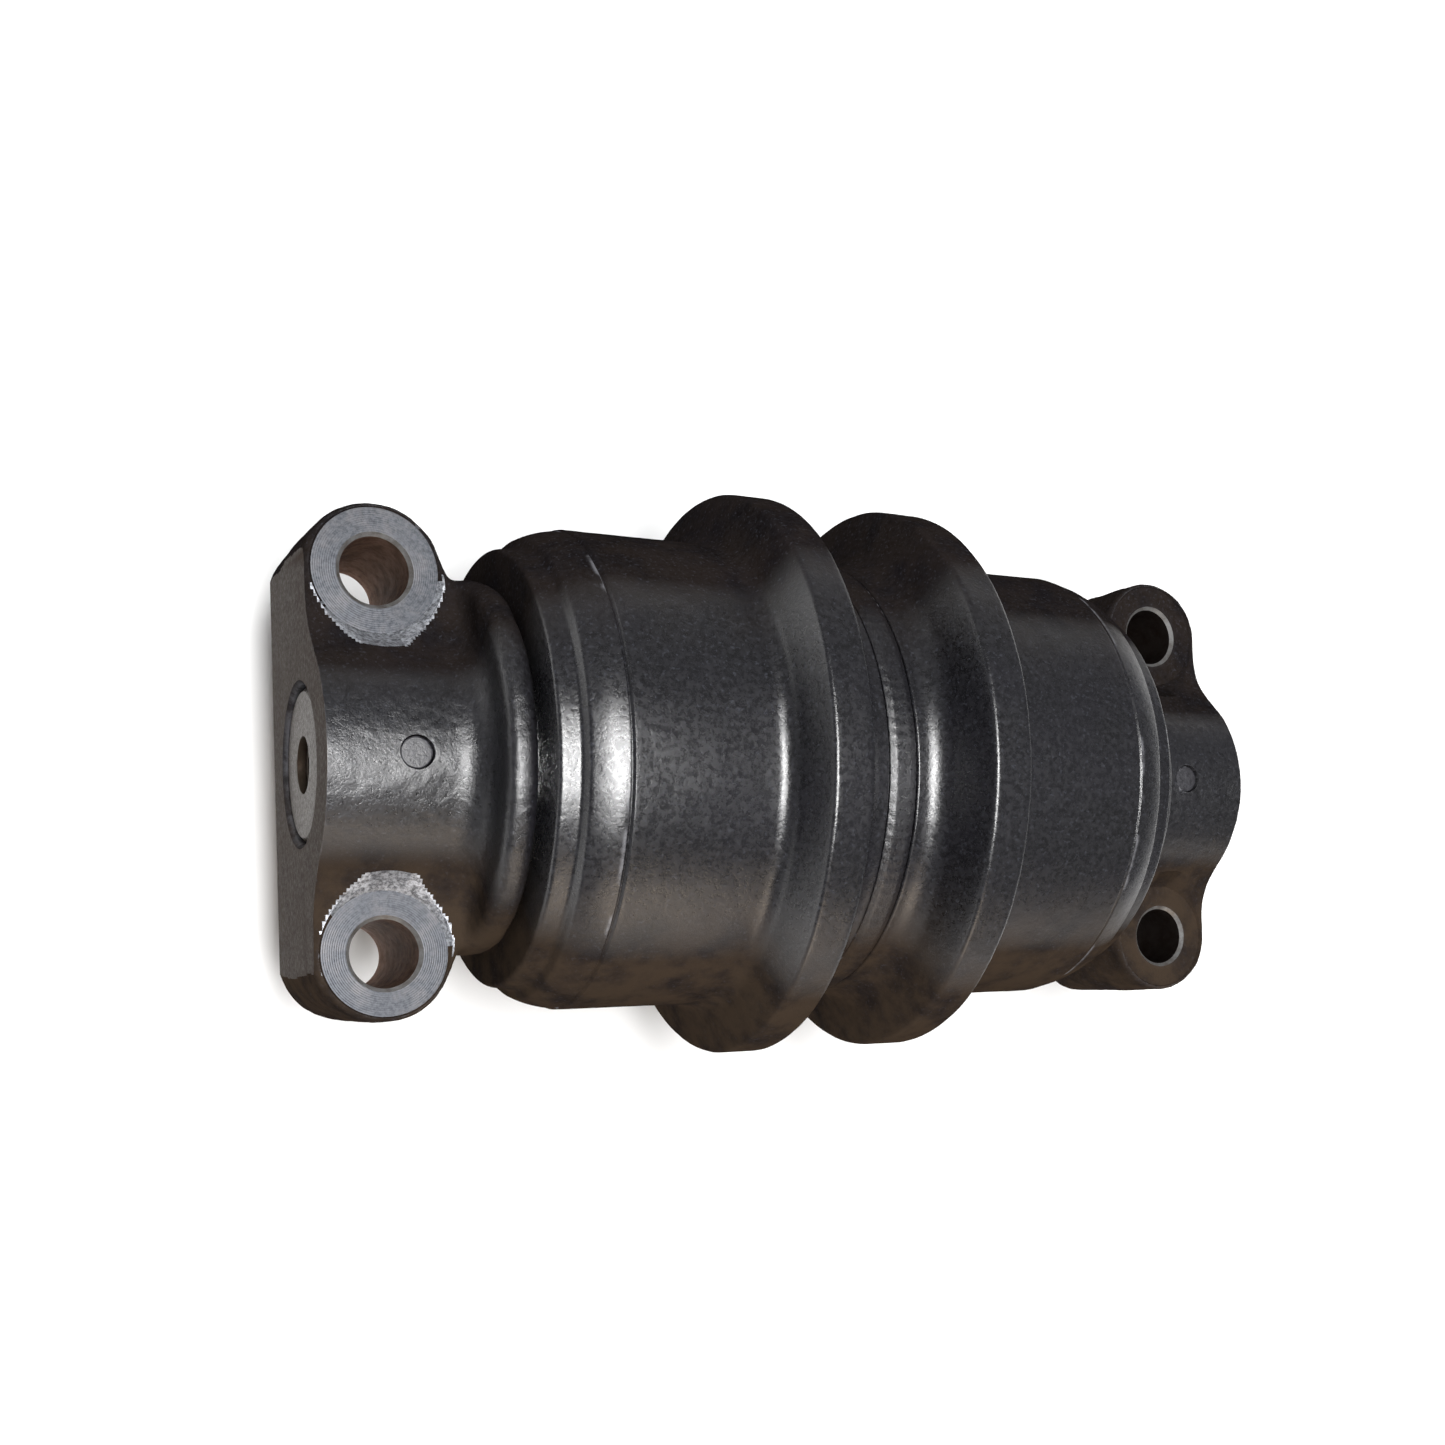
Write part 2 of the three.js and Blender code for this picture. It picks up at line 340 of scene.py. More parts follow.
def collar_field(x, y, z):
    """The right collar's forging before machining."""
    r = np.hypot(y, z)
    barrel = slab_field(r, np.abs(x - BARREL_MIDDLE_X), BARREL_R, BARREL_HALF_LENGTH, 2)
    disc_middle = DISC_INNER_X + DISC_WIDTH / 2
    disc = slab_field(r, np.abs(x - disc_middle), DISC_R, DISC_WIDTH / 2, 3.2)
    nose = slab_field(r, np.abs(x - NOSE_MIDDLE_X), NOSE_R, NOSE_MIDDLE_X - COLLAR_NOSE, 1)
    from_bolt_x = np.minimum(x - BOLT_X, (x - BOLT_X) * LUG_END_SCALE)
    reach = np.hypot(from_bolt_x, np.maximum(np.abs(y) - BOLT_Y, 0))
    middle_z = (LUG_TOP_Z + MOUNT_Z - 3) / 2
    draft = LUG_DRAFT * np.abs(z - middle_z)
    lugs = slab_field(reach + draft, np.abs(z - middle_z), LUG_R, LUG_TOP_Z - middle_z, 2.2)
    body = blend_union(barrel, disc, DISC_FILLET_R)
    body = blend_union(body, lugs, LUG_FILLET_R)
    return np.minimum(body, nose)


def collar_blank(name, seed):
    step = 0.8
    low = (COLLAR_NOSE - 3, -LUG_REACH - 3, -DISC_R - 3)
    high = (COLLAR_END + 6, LUG_REACH + 3, DISC_R + 3)
    axes = [np.arange(a, b, step) for a, b in zip(low, high)]
    x, y, z = np.meshgrid(*axes, indexing="ij")
    blank = mesh_object(name, *surface_net(collar_field(x, y, z), low, step))
    smooth = blank.modifiers.new("smooth", "SMOOTH")
    smooth.factor = 0.5
    smooth.iterations = 3
    apply_modifiers(blank)
    roughen(blank, [(9, 0.25), (3.2, 0.08), (1.8, 0.09)], seed, keep=lambda p: p.x < DISC_INNER_X)
    return blank


def box_cutter(low, high):
    corners = [(x, y, z) for x in (low[0], high[0]) for y in (low[1], high[1]) for z in (low[2], high[2])]
    faces = [(0, 1, 3, 2), (4, 6, 7, 5), (0, 4, 5, 1), (2, 3, 7, 6), (0, 2, 6, 4), (1, 5, 7, 3)]
    return mesh_object("cutter", corners, faces)


def bolt_cutter(y):
    """Drill, finished seat and the rough step round it, along Z."""
    outline = [
        (MOUNT_Z - 10, 0, 0), (MOUNT_Z - 10, BOLT_HOLE_R + 0.7, 0), (MOUNT_Z, BOLT_HOLE_R + 0.7, 0),
        (MOUNT_Z + 0.7, BOLT_HOLE_R, 0), (SEAT_Z - 1, BOLT_HOLE_R, 0), (SEAT_Z, BOLT_HOLE_R + 1, 0),
        (SEAT_Z, SEAT_R, 0), (SEAT_Z + ROUGH_SEAT_HEIGHT, ROUGH_SEAT_R, 0), (60, ROUGH_SEAT_R, 0), (60, 0, 0),
    ]
    cutter = turned("cutter", rounded_outline(outline, 20, closed=False), 128, closed=False)
    return aim_up(cutter, BOLT_X, y)


def collar(name, body_side, seed):
    """A collar: rough forging, flat foot and end face, bored, drilled and seated."""
    piece = collar_blank(name, seed)
    cut(piece, box_cutter((BOLT_X - LUG_R, -90, MOUNT_Z - 40), (160, 90, MOUNT_Z)))
    cut(piece, box_cutter((COLLAR_END, -90, -90), (170, 90, 90)))
    bore_r = SHAFT_R + GAP
    groove_r = SHAFT_R + O_RING_GROOVE_DEPTH
    groove_inner, groove_outer = O_RING_GROOVE_X
    bore = [
        (70, 0, 0), (70, bore_r, 0), (groove_inner, bore_r, 0), (groove_inner, groove_r, 0),
        (groove_outer, groove_r, 0), (groove_outer, bore_r, 0), (COLLAR_END - 1, bore_r, 0),
        (COLLAR_END, bore_r + 1, 0), (160, bore_r + 1, 0), (160, 0, 0),
    ]
    cut(piece, turned("cutter", rounded_outline(bore, 90, closed=False), 128, closed=False))
    cup = [
        (DISC_INNER_X - 6, NOSE_R + 0.2, 0), (DISC_INNER_X - 6, HOUSING_R, 0),
        (DISC_INNER_X + 7, HOUSING_R, 1), (DISC_INNER_X + 7, NOSE_R + 0.2, 1),
    ]
    cut(piece, turned("cutter", rounded_outline(cup, 90), 128))
    for y in (-BOLT_Y, BOLT_Y):
        cut(piece, bolt_cutter(y))
    pin_hole = [(0, 0), (0, PIN_R + GAP), (BARREL_R + 4, PIN_R + GAP), (BARREL_R + 4, 0)]
    cut(piece, aim_up(turned("cutter", pin_hole, 48, closed=False), PIN_X, 0))
    paint_collar_faces(piece, body_side)
    if body_side == "left":
        mirror_end(piece)
    shade(piece)
    return piece


def collar_finish(place, normal):
    """The finish of one face of the right-hand collar, from where it lies."""
    from_bolt = math.hypot(place.x - BOLT_X, abs(place.y) - BOLT_Y)
    above_seat = place.z - SEAT_Z
    wall_r = SEAT_R + above_seat * (ROUGH_SEAT_R - SEAT_R) / ROUGH_SEAT_HEIGHT
    if from_bolt < BOLT_HOLE_R + 0.2 and above_seat < -1:
        return "bolt_bore"
    if from_bolt < BOLT_HOLE_R + 1 and -1 <= above_seat < -0.02:
        return "bore_edge"
    if from_bolt < SEAT_R + 0.2 and abs(above_seat) < 0.02:
        return "bolt_seat"
    if abs(from_bolt - wall_r) < 0.3 and LOW_WALL_HEIGHT < above_seat < ROUGH_SEAT_HEIGHT:
        return "rough_seat"
    if place.x > COLLAR_END - 0.05:
        return "end_face"
    if place.z < MOUNT_Z + 0.05 and normal.z < -0.9:
        return "foot_face"
    return "forged_skin"


def paint_collar_faces(piece, side):
    """Gives each face of the collar its finish. On the right collar the seats take the forged skin and the
    bolt bores a near-black painted shade.
    """
    finishes = ("forged_skin", "end_face", "foot_face", "bolt_seat", "rough_seat", "bolt_bore", "bore_edge")
    right_side_finishes = {}
    if side == "right":
        # Right collar: the seats take the forged skin, and the bolt bores get a near-black painted shade.
        right_side_finishes = {"bolt_seat": "forged_skin", "rough_seat": "forged_skin", "bolt_bore": "painted_shade_bore"}
    piece.data.materials.clear()
    for finish in finishes:
        piece.data.materials.append(materials[right_side_finishes.get(finish, finish)])
    for face in piece.data.polygons:
        face.material_index = finishes.index(collar_finish(face.center / MM, face.normal))


# ---- Turned pieces ----

def shell_half(name, side, seed):
    """Half of the shell, from the weld groove to the end face, with the stepped bore inside."""
    thrust_x = SHELL_END - THRUST_DEPTH
    bush_inner = thrust_x - BUSH_LENGTH
    flange_seat = thrust_x - BUSH_FLANGE_WIDTH - GAP
    outline = rounded_outline([
        (GAP / 2, OIL_CAVITY_R, 0), (GAP / 2, 51.7, 0), (WELD_HALF + GAP, 51.7, 0),
        (WELD_HALF + GAP, VALLEY_R, 0.6), (11.5, VALLEY_R, 8), (18.2, FLANGE_R, 1.6), (29.2, FLANGE_R, 1.4),
        (34.6, TREAD_R, 5), (STEP_X, TREAD_R, 0.3), (STEP_X + 0.7, TREAD_R - 0.9, 0.25),
        (STEP_X + 1.3, TREAD_R - 0.45, 0.4), (SHELL_END - 11.5, TREAD_R - 1, 26),
        (SHELL_END - 6.8, 61.2, 1.5), (SHELL_END - 5.6, 58.8, 1.5), (SHELL_END, 57.9, 1.3),
        (SHELL_END, HOUSING_R, 0.8), (thrust_x, HOUSING_R, 1), (thrust_x, BUSH_FLANGE_R + 0.8, 0),
        (flange_seat, BUSH_FLANGE_R + 0.8, 0), (flange_seat, BUSH_R + GAP, 0),
        (bush_inner - 3, BUSH_R + GAP, 0), (bush_inner - 7, OIL_CAVITY_R, 0),
    ], 1.2)
    piece = turned(name, outline, 288)
    roughen(piece, [(22, 0.16), (6, 0.07), (2.4, 0.04)], seed, keep=lambda p: math.hypot(p.y, p.z) < 56)
    piece.data.materials.append(materials["shell_skin"])
    if side == "left":
        mirror_end(piece)
    shade(piece)
    return piece


def centre_weld(name):
    """The weld bead at the bottom of the valley, with ripples round it."""
    half = WELD_HALF
    outline = rounded_outline([
        (-half, WELD_ROOT_R, 0), (-half, VALLEY_R - 0.3, 0.3), (-2.4, WELD_R - 0.3, 2),
        (2.4, WELD_R - 0.3, 2), (half, VALLEY_R - 0.3, 0.3), (half, WELD_ROOT_R, 0),
    ], 0.5)
    piece = turned(name, outline, 720)
    for vertex in piece.data.vertices:
        point = vertex.co / MM
        radius = math.hypot(point.y, point.z)
        if radius < VALLEY_R - 1:
            continue
        angle = math.atan2(point.z, point.y)
        ripple = math.sin(angle * WELD_RIPPLES + 0.16 * point.x * point.x)
        scale = 1 + (0.05 * ripple - 0.1) / radius
        vertex.co.y *= scale
        vertex.co.z *= scale
    piece.data.materials.append(materials["weld_skin"])
    shade(piece, 60)
    return piece


def shaft(name):
    """The shaft: chamfered ends, a centre mark at the right end and the oil bore at the left end."""
    chamfer = SHAFT_CHAMFER
    plug_bore_end = PLUG_BORE_DEPTH - SHAFT_END
    right = [(SHAFT_END - 2, 0, 0), (SHAFT_END - 2, 0.6, 0), (SHAFT_END, 2.4, 0.1)]
    left = [
        (-SHAFT_END, PLUG_BORE_R, 0.2), (plug_bore_end, PLUG_BORE_R, 0), (plug_bore_end, OIL_BORE_R, 0),
        (OIL_BORE_END_X, OIL_BORE_R, 0), (OIL_BORE_END_X, 0, 0),
    ]
    outline = right + [
        (SHAFT_END, SHAFT_R - chamfer, 0.2), (SHAFT_END - chamfer, SHAFT_R, 0.2),
        (chamfer - SHAFT_END, SHAFT_R, 0.2), (-SHAFT_END, SHAFT_R - chamfer, 0.2),
    ] + left
    piece = turned(name, rounded_outline(outline, 3, closed=False), 128, closed=False)
    piece.data.materials.append(materials["shaft_steel"])
    shade(piece)
    return piece


def plain_ring(name, side, corners, finish, segments=128):
    """A ring turned from rounded corners, for the right end or turned round to the left end."""
    piece = turned(name, rounded_outline(corners, 4), segments)
    piece.data.materials.append(materials[finish])
    if side == "left":
        mirror_end(piece)
    shade(piece)
    return piece


def bush(name, side):
    inner, outer = frame_mm("right_bush", 0, "x"), frame_mm("right_bush", 1, "x")
    bore = SHAFT_R + GAP
    corners = [
        (inner, bore, 0.8), (inner, BUSH_R, 0.6), (outer - BUSH_FLANGE_WIDTH, BUSH_R, 0.2),
        (outer - BUSH_FLANGE_WIDTH, BUSH_FLANGE_R, 0.4),
        (outer, BUSH_FLANGE_R, 0.4), (outer, bore, 0.8),
    ]
    return plain_ring(name, side, corners, "bronze")


def seal_ring(name, side, node, facing):
    """A metal face-seal ring. facing is +1 when its body points away from the middle."""
    low, high = frame_mm("right_" + node, 0, "x"), frame_mm("right_" + node, 1, "x")
    run, back = (low, high) if facing > 0 else (high, low)
    corners = [
        (run, SEAL_RING_INNER_R, 0.4), (run, SEAL_RING_OUTER_R, 0.3),
        (run + 2.5 * facing, SEAL_RING_OUTER_R, 0.5), (run + 3.2 * facing, 36, 1),
        (back, 35.2, 0.8), (back, SEAL_RING_INNER_R, 0.4),
    ]
    return plain_ring(name, side, corners, "seal_steel")


def rubber_ring(name, side, node):
    """A ring of round section that fills its CAD solid's box."""
    low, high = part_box("right_" + node)
    section = (high.x - low.x) / 2 / MM
    middle = (high.x + low.x) / 2 / MM
    centre_r = high.z / MM - section
    angles = [2 * math.pi * i / 24 for i in range(24)]
    outline = [(middle + section * math.cos(a), centre_r + section * math.sin(a)) for a in angles]
    piece = turned(name, outline, 128)
    piece.data.materials.append(materials["rubber"])
    if side == "left":
        mirror_end(piece)
    shade(piece)
    return piece


def lock_pin(name, side):
    low, high = frame_mm("right_lock_pin", 0, "z"), frame_mm("right_lock_pin", 1, "z")
    corners = [(low, 0, 0), (low, PIN_R, 1), (high, PIN_R, 0.5), (high, 0, 0)]
    piece = aim_up(turned(name, rounded_outline(corners, 2, closed=False), 48, closed=False), PIN_X, 0)
    piece.data.materials.append(materials["pin_skin"])
    if side == "left":
        mirror_end(piece)
    shade(piece)
    return piece


def oil_plug(name):
    """A screwed plug with a hexagon socket, in the mouth of the shaft's oil bore."""
    outer, inner = frame_mm("oil_plug", 0, "x"), frame_mm("oil_plug", 1, "x")
    corners = [(outer, 0, 0), (outer, PLUG_R, 0.9), (inner, PLUG_R, 0.9), (inner, 0, 0)]
    piece = turned(name, rounded_outline(corners, 12, closed=False), 96, closed=False)
    floor_x = outer - HEX_SOCKET_DEPTH
    hexagon = [(floor_x, 0), (floor_x, HEX_SOCKET_R), (outer + 5, HEX_SOCKET_R), (outer + 6, 0)]
    socket = turned("cutter", hexagon, 6, closed=False)
    cut(piece, socket)
    piece.data.materials.clear()
    piece.data.materials.append(materials["pin_steel"])
    for face in piece.data.polygons:
        face.material_index = 0
    shade(piece)
    return piece


# ---- Materials ----

class Nodes:
    """Short ways to add linked shader nodes to one material."""

    def __init__(self, name):
        self.material = bpy.data.materials.new(name)
        self.material.use_nodes = True
        self.tree = self.material.node_tree
        self.shader = self.tree.nodes["Principled BSDF"]
        coordinates = self.tree.nodes.new("ShaderNodeTexCoord")
        self.place = coordinates.outputs["Object"]

    def link(self, source, target):
        if isinstance(source, bpy.types.NodeSocket):
            self.tree.links.new(source, target)
        else:
            target.default_value = source

    def noise(self, size_mm, detail=4, roughness=0.6):
        node = self.tree.nodes.new("ShaderNodeTexNoise")
        node.inputs["Scale"].default_value = 1 / (size_mm * MM)
        node.inputs["Detail"].default_value = detail
        node.inputs["Roughness"].default_value = roughness
        self.link(self.place, node.inputs["Vector"])
        return node.outputs["Fac"]

    def ramp(self, value, low, high, start=0.0, end=1.0):
        """value between low and high becomes start to end, smoothly."""
        node = self.tree.nodes.new("ShaderNodeMapRange")
        node.interpolation_type = "SMOOTHSTEP"
        self.link(value, node.inputs["Value"])
        for socket, number in zip(("From Min", "From Max", "To Min", "To Max"), (low, high, start, end)):
            node.inputs[socket].default_value = number
        return node.outputs["Result"]

    def math(self, operation, a, b=0.0):
        node = self.tree.nodes.new("ShaderNodeMath")
        node.operation = operation
        self.link(a, node.inputs[0])
        self.link(b, node.inputs[1])
        return node.outputs["Value"]

    def mix(self, share, a, b):
        node = self.tree.nodes.new("ShaderNodeMix")
        node.data_type = "RGBA"
        self.link(share, node.inputs["Factor"])
        self.link(a if isinstance(a, bpy.types.NodeSocket) else (*a, 1), node.inputs["A"])
        self.link(b if isinstance(b, bpy.types.NodeSocket) else (*b, 1), node.inputs["B"])
        return node.outputs["Result"]

    def axis(self, vector, name):
        node = self.tree.nodes.new("ShaderNodeSeparateXYZ")
        self.link(vector, node.inputs["Vector"])
        return node.outputs[name]

    def edges(self):
        """1 on convex edges, 0 elsewhere."""
        geometry = self.tree.nodes.new("ShaderNodeNewGeometry")
        return self.ramp(geometry.outputs["Pointiness"], 0.52, 0.6)

    def bump(self, heights):
        """Adds bumps from (height, strength, depth in mm) and links the last one to the shader."""
        normal = None
        for height, strength, depth in heights:
            node = self.tree.nodes.new("ShaderNodeBump")
            node.inputs["Strength"].default_value = strength
            node.inputs["Distance"].default_value = depth * MM
            self.link(height, node.inputs["Height"])
            if normal:
                self.link(normal, node.inputs["Normal"])
            normal = node.outputs["Normal"]
        self.link(normal, self.shader.inputs["Normal"])

    def finish(self, colour, roughness, metallic=0.0, **constants):
        self.link(colour, self.shader.inputs["Base Color"])
        self.link(roughness, self.shader.inputs["Roughness"])
        self.link(metallic, self.shader.inputs["Metallic"])
        for name, value in constants.items():
            self.shader.inputs[name.replace("_", " ")].default_value = value
        return self.material


def dark_skin(name, grain_mm, roughness, bumpiness, tint=1.0):
    """Black paint and oil over steel, speckled and glossy on top.

    Where the surface turns away from the top of the piece, by its angle round X, shade and a brown reflection
    of the ground are painted in. There the colour turns dull and brown and the specular level falls to zero.
    The painted brown is stronger at the front, towards -Y, than at the back. The pale bluish specks are
    painted glints. The pale convex edges are partly wear and partly a painted edge highlight.
    """
    n = Nodes(name)
    grain = n.noise(grain_mm, 6, 0.75)
    cloud = n.noise(26, 4, 0.6)
    glint_speck = n.ramp(n.noise(grain_mm * 0.6, 2, 0.5), 0.58, 0.74)
    dark, light = (0.003 * tint, 0.0028 * tint, 0.0033 * tint), (0.011 * tint, 0.0108 * tint, 0.013 * tint)
    base = n.mix(n.ramp(grain, 0.3, 0.7), dark, light)
    base = n.mix(n.ramp(cloud, 0.35, 0.7, 0, 0.5), base, (0.008, 0.0075, 0.0105))
    # Painted glints: small pale bluish specks in the colour stand in for speckled highlights.
    base = n.mix(n.math("MULTIPLY", glint_speck, 0.4), base, (0.05, 0.053, 0.066))
    # Painted shade: this mask is 1 where the surface turns away from the top, by its angle round X.
    side, up = n.axis(n.place, "Y"), n.axis(n.place, "Z")
    from_axis = n.math("SQRT", n.math("ADD", n.math("MULTIPLY", side, side), n.math("MULTIPLY", up, up)))
    leaning = n.math("SUBTRACT", up, n.math("MULTIPLY", side, 0.1))
    painted_limb_shade = n.ramp(n.math("DIVIDE", leaning, from_axis), 0.95, 0.58)
    # Painted brown reflection of the ground on the sides turned away from the top, patchy and stronger
    # towards -Y.
    patches = n.ramp(n.noise(14, 5, 0.65), 0.3, 0.62, 0.3, 1)
    front = n.ramp(n.axis(n.place, "Y"), 0.01, -0.03, 0.3, 1)
    brown = n.math("MULTIPLY", n.math("MULTIPLY", painted_limb_shade, patches), front)
    base = n.mix(brown, base, (0.036, 0.0255, 0.018))
    # Convex edges painted pale: partly wear and partly a painted edge highlight.
    pale_edges = n.math("MULTIPLY", n.edges(), n.ramp(n.noise(5, 4, 0.7), 0.35, 0.6, 0.2, 0.9))
    base = n.mix(pale_edges, base, (0.12, 0.12, 0.13))
    gloss = n.ramp(grain, 0.25, 0.75, roughness - 0.06, roughness + 0.12)
    gloss = n.math("ADD", gloss, n.math("MULTIPLY", painted_limb_shade, 0.25))
    n.bump([
        (n.noise(grain_mm * 4, 4, 0.6), 0.15 * bumpiness, 0.35),
        (grain, 0.32 * bumpiness, 0.26),
        (n.noise(grain_mm * 0.5, 3, 0.6), 0.25 * bumpiness, 0.1),
    ])
    # Painted shade: the specular level falls to zero where the surface turns away from the top.
    n.link(n.ramp(painted_limb_shade, 0, 0.9, 0.8, 0), n.shader.inputs["Specular IOR Level"])
    return n.finish(base, gloss)


def bare_steel(name, light, dark, roughness, mark_depth, rings=True):
    """Machined steel with ring-shaped tool marks round the bolt hole, or none."""
    n = Nodes(name)
    scratch = n.noise(1.1, 5, 0.75)
    stain = n.ramp(n.noise(5, 4, 0.7), 0.42, 0.72)
    base = n.mix(n.ramp(scratch, 0.35, 0.65), dark, light)
    base = n.mix(n.math("MULTIPLY", stain, 0.35), base, (0.16, 0.15, 0.15))
    heights = [(scratch, 0.5, mark_depth)]
    if rings:
        across = n.math("SUBTRACT", n.math("ABSOLUTE", n.axis(n.place, "X")), BOLT_X * MM)
        along = n.math("SUBTRACT", n.math("ABSOLUTE", n.axis(n.place, "Y")), BOLT_Y * MM)
        squares = n.math("ADD", n.math("MULTIPLY", across, across), n.math("MULTIPLY", along, along))
        distance = n.math("SQRT", squares)
        marks = n.math("SINE", n.math("MULTIPLY", distance, 2 * math.pi / (0.55 * MM)))
        heights.append((marks, 0.25, 0.05))
    n.bump(heights)
    return n.finish(base, n.ramp(scratch, 0.3, 0.7, roughness - 0.08, roughness + 0.1), 0.75)


def stained_steel(name, light, brown, roughness, metallic, stain_mm=7, wear=0.6):
    """Steel under a brown film, darker in blotches and bare along its edges."""
    n = Nodes(name)
    grain = n.noise(1.3, 5, 0.7)
    blotch = n.ramp(n.noise(stain_mm, 5, 0.65), 0.35, 0.68)
    base = n.mix(blotch, light, brown)
    base = n.mix(n.ramp(grain, 0.5, 0.8, 0, 0.5), base, (0.03, 0.024, 0.02))
    pale_edges = n.math("MULTIPLY", n.edges(), wear)
    base = n.mix(pale_edges, base, (0.3, 0.28, 0.27))
    n.bump([(grain, 0.4, 0.12), (n.noise(stain_mm * 0.5, 4, 0.6), 0.25, 0.25)])
    gloss = n.ramp(grain, 0.3, 0.7, roughness - 0.08, roughness + 0.12)
    return n.finish(base, gloss, metallic, Specular_IOR_Level=0.03)


def rubber_material():
    n = Nodes("rubber")
    grain = n.noise(0.9, 4, 0.6)
    base = n.mix(grain, (0.012, 0.012, 0.012), (0.035, 0.034, 0.033))
    n.bump([(grain, 0.3, 0.05)])
    return n.finish(base, n.ramp(grain, 0.3, 0.7, 0.55, 0.75))


def floor_material():
    """Pale floor that glows faintly far from the part, so that it meets the backdrop without a dark band."""
    n = Nodes("pale_floor")
    tint = n.noise(180, 3, 0.5)
    base = n.mix(tint, (0.86, 0.86, 0.86), (0.9, 0.9, 0.895))
    across, along = n.axis(n.place, "X"), n.axis(n.place, "Y")
    squares = n.math("ADD", n.math("MULTIPLY", across, across), n.math("MULTIPLY", along, along))
    n.link(n.ramp(n.math("SQRT", squares), 0.5, 2.2, 0, 0.62), n.shader.inputs["Emission Strength"])
    n.shader.inputs["Emission Color"].default_value = (0.97, 0.98, 1, 1)
    n.bump([(n.noise(3, 3, 0.5), 0.05, 0.1)])
    return n.finish(base, n.ramp(tint, 0.3, 0.7, 0.7, 0.8))


def backdrop_material():
    n = Nodes("pale_backdrop")
    cloud = n.noise(4000, 3, 0.5)
    n.link(n.mix(cloud, (0.78, 0.79, 0.81), (0.84, 0.85, 0.86)), n.shader.inputs["Emission Color"])
    n.shader.inputs["Emission Strength"].default_value = 1
    return n.finish(n.mix(cloud, (0, 0, 0), (0.01, 0.01, 0.01)), n.ramp(cloud, 0.3, 0.7, 0.9, 1))


materials = {
    "shell_skin": dark_skin("shell_skin", 1.6, 0.25, 1),
    "weld_skin": dark_skin("weld_skin", 1.1, 0.28, 1.5),
    "forged_skin": dark_skin("forged_skin", 1.5, 0.3, 1.6),
    "pin_skin": dark_skin("pin_skin", 1.2, 0.4, 1.5, 3),
    "end_face": stained_steel("end_face", (0.026, 0.0165, 0.0105), (0.019, 0.01, 0.0052), 0.55, 0, wear=0.02),
    "foot_face": stained_steel("foot_face", (0.16, 0.15, 0.145), (0.06, 0.042, 0.03), 0.4, 0.6, wear=0.15),
    "bolt_seat": bare_steel("bolt_seat", (0.096, 0.1, 0.111), (0.04, 0.043, 0.05), 0.5, 0.1),
    "rough_seat": bare_steel("rough_seat", (0.66, 0.68, 0.73), (0.13, 0.135, 0.15), 0.48, 0.5, rings=False),
    "bolt_bore": stained_steel("bolt_bore", (0.16, 0.095, 0.068), (0.08, 0.045, 0.03), 0.55, 0, 4, 0.03),
    # Painted shade: a near-black bore for the right collar's bolt holes, which lie in shade.
    "painted_shade_bore": stained_steel("painted_shade_bore", (0.012, 0.009, 0.008), (0.008, 0.005, 0.004), 0.6, 0, 4, 0.02),
    "bore_edge": stained_steel("bore_edge", (0.2, 0.2, 0.2), (0.1, 0.09, 0.08), 0.4, 0.6, 4),
    "shaft_steel": stained_steel(
        "shaft_steel", (0.035, 0.027, 0.02), (0.024, 0.015, 0.01), 0.34, 0.2, wear=0
    ),
    "pin_steel": stained_steel("pin_steel", (0.05, 0.04, 0.032), (0.026, 0.018, 0.012), 0.4, 0.3, 3, 0),
    "bronze": stained_steel("bronze", (0.62, 0.42, 0.18), (0.42, 0.26, 0.1), 0.32, 0.9),
    "seal_steel": stained_steel("seal_steel", (0.55, 0.55, 0.56), (0.42, 0.42, 0.42), 0.24, 0.95),
    "rubber": rubber_material(),
}


# ---- Pieces on their bodies ----

def place(piece, node, body, slot):
    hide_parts(node)
    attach(piece, body)


for number, side in enumerate(("left", "right")):
    turning = {
        "shell_half": (shell_half(side + "_shell", side, number + 1), "shell_steel"),
        "bush": (bush(side + "_bronze_bush", side), "bronze"),
        "turning_seal_ring": (
            seal_ring(side + "_rotating_ring", side, "turning_seal_ring", -1), "seal_steel"
        ),
        "turning_toric": (rubber_ring(side + "_rotating_rubber", side, "turning_toric"), "seal_rubber"),
    }
    still = {
        "collar": (collar(side + "_forged_collar", side, number + 5), "collar_steel"),
        "fixed_seal_ring": (seal_ring(side + "_still_ring", side, "fixed_seal_ring", 1), "seal_steel"),
        "fixed_toric": (rubber_ring(side + "_still_rubber", side, "fixed_toric"), "seal_rubber"),
        "collar_o_ring": (rubber_ring(side + "_shaft_o_ring", side, "collar_o_ring"), "seal_rubber"),
        "lock_pin": (lock_pin(side + "_pin", side), "pin_steel"),
    }
    for body, made in (("roller", turning), ("mounted_side", still)):
        for node, (piece, slot) in made.items():
            place(piece, side + "_" + node, body, slot)

place(centre_weld("weld_bead"), "centre_weld", "roller", "weld_steel")
place(shaft("ground_shaft"), "shaft", "mounted_side", "ground_steel")
place(oil_plug("socket_plug"), "oil_plug", "mounted_side", "pin_steel")


# ---- Stage, lights and camera ----

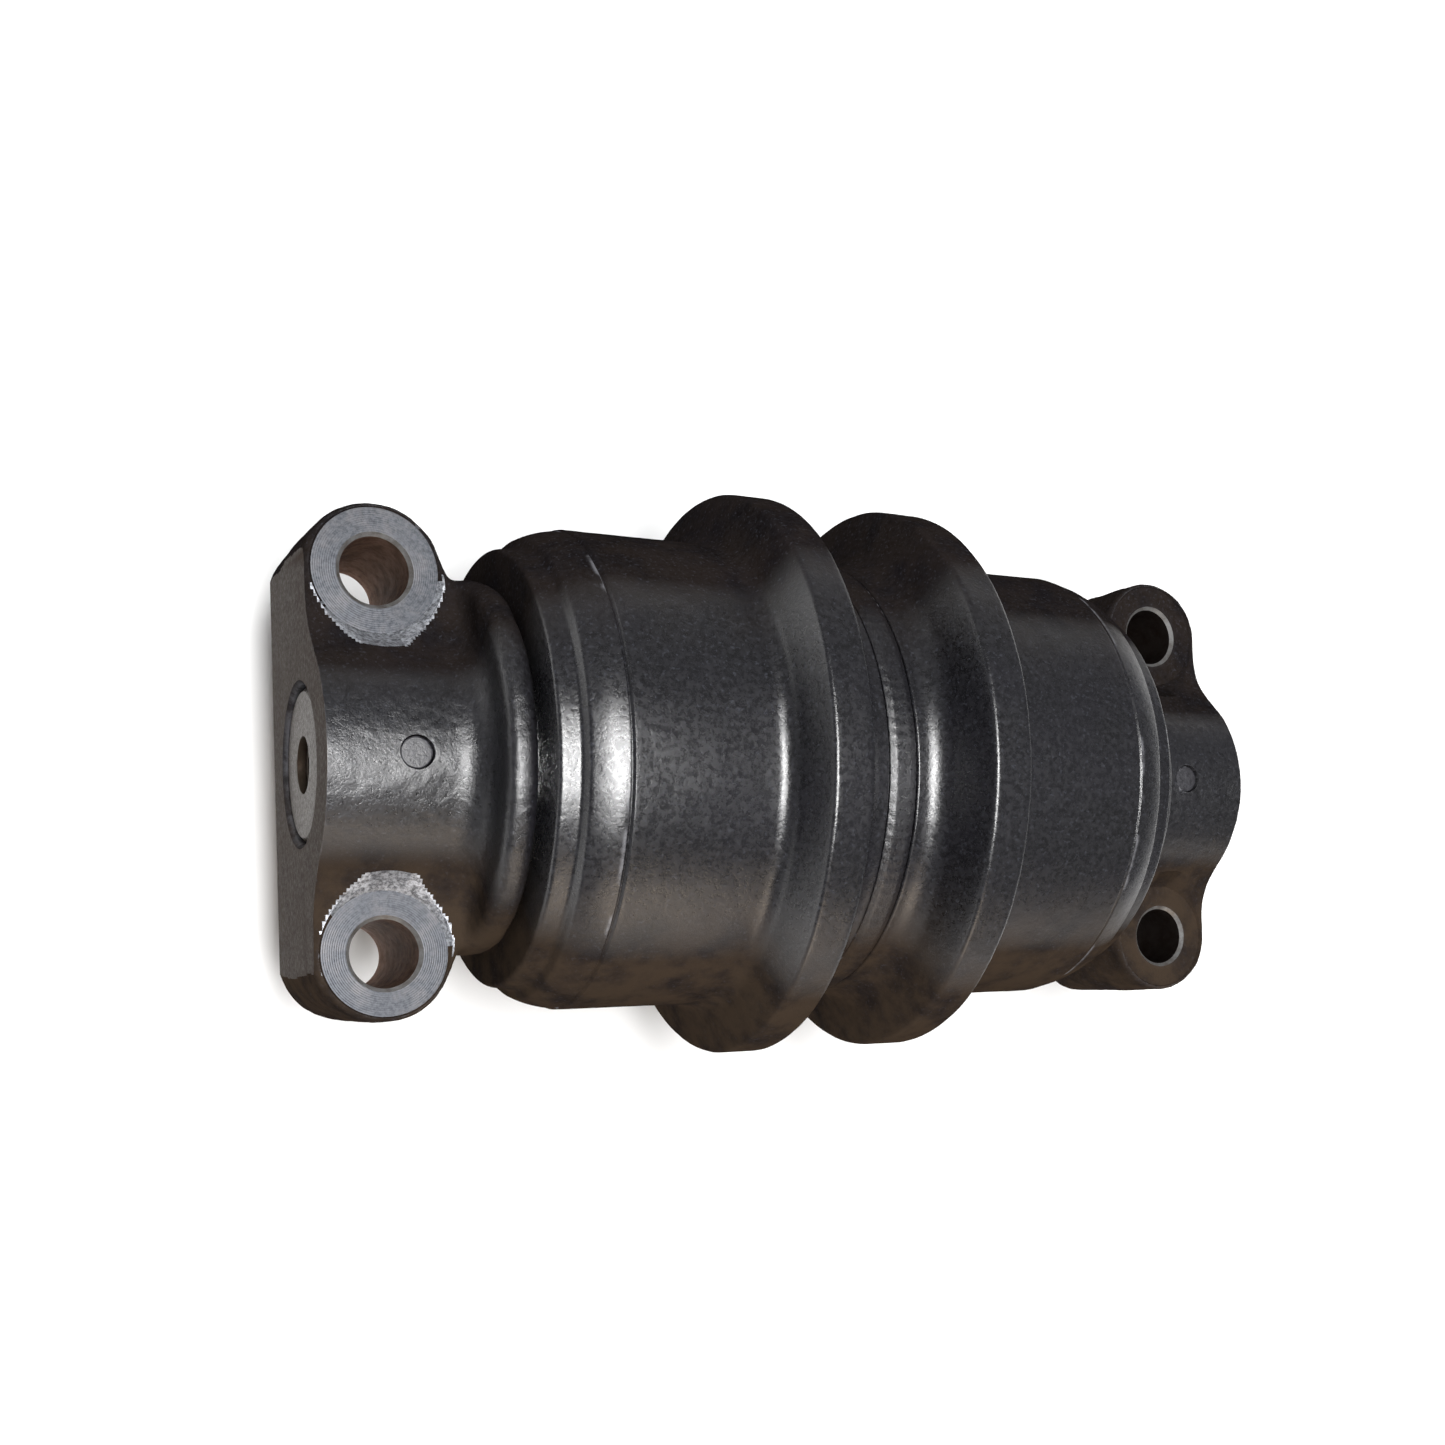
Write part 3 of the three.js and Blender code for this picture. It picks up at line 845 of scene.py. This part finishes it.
def floor():
    half = 12
    low = cad_bounds[0].z - 0.0004
    mesh = bpy.data.meshes.new("floor")
    corners = [(-half, -half, low), (half, -half, low), (half, half, low), (-half, half, low)]
    mesh.from_pydata(corners, [], [(0, 1, 2, 3)])
    mesh.materials.append(floor_material())
    piece = bpy.data.objects.new("floor", mesh)
    bpy.context.scene.collection.objects.link(piece)


def backdrop():
    """A pale dome round the stage that only the camera sees, so that it doesn't light the part."""
    radius = 9000
    angles = [math.radians(2.5 * i - 2.5) for i in range(38)]
    outline = [(radius * math.sin(a), max(radius * math.cos(a), 0)) for a in angles]
    dome = aim_up(turned("backdrop", outline, 96, closed=False), 0, 0)
    dome.data.materials.append(backdrop_material())
    for kind in ("diffuse", "glossy", "transmission", "shadow"):
        setattr(dome, "visible_" + kind, False)
    shade(dome, 80)


def area_light(name, direction, distance, width, length, power, colour=(1, 1, 1)):
    """A soft light, width along X and length along Y, that looks at the origin from a direction."""
    light = bpy.data.lights.new(name, "AREA")
    light.shape = "RECTANGLE"
    light.size = width
    light.size_y = length
    light.energy = power
    light.color = colour
    lamp = bpy.data.objects.new(name, light)
    back = Vector(direction).normalized()
    up = back.cross(Vector((1, 0, 0))).normalized()
    turn = Matrix((up.cross(back), up, back)).transposed().to_4x4()
    lamp.matrix_world = Matrix.Translation(back * distance) @ turn
    bpy.context.scene.collection.objects.link(lamp)


def lighting():
    area_light("key", (-0.17, -0.06, 1), 1.5, 0.34, 0.95, 42)
    area_light("front_warm", (0.1, -1, 0.35), 1.5, 0.8, 0.8, 6, (1, 0.84, 0.68))
    world = bpy.data.worlds.new("studio")
    world.use_nodes = True
    background = world.node_tree.nodes["Background"]
    background.inputs["Color"].default_value = (0.95, 0.97, 1, 1)
    background.inputs["Strength"].default_value = 0.2
    bpy.context.scene.world = world


def camera():
    data = bpy.data.cameras.new("view")
    data.lens = 42.65
    data.shift_x = -0.1
    data.shift_y = 0.15
    eye = bpy.data.objects.new("view", data)
    eye.location = (-0.2302, -0.0558, 0.4469)
    eye.rotation_euler = Euler([math.radians(a) for a in (1.96, -29.4, -2.05)])
    bpy.context.scene.collection.objects.link(eye)
    bpy.context.scene.camera = eye


floor()
backdrop()
lighting()
camera()
bpy.context.scene.view_settings.view_transform = "Standard"
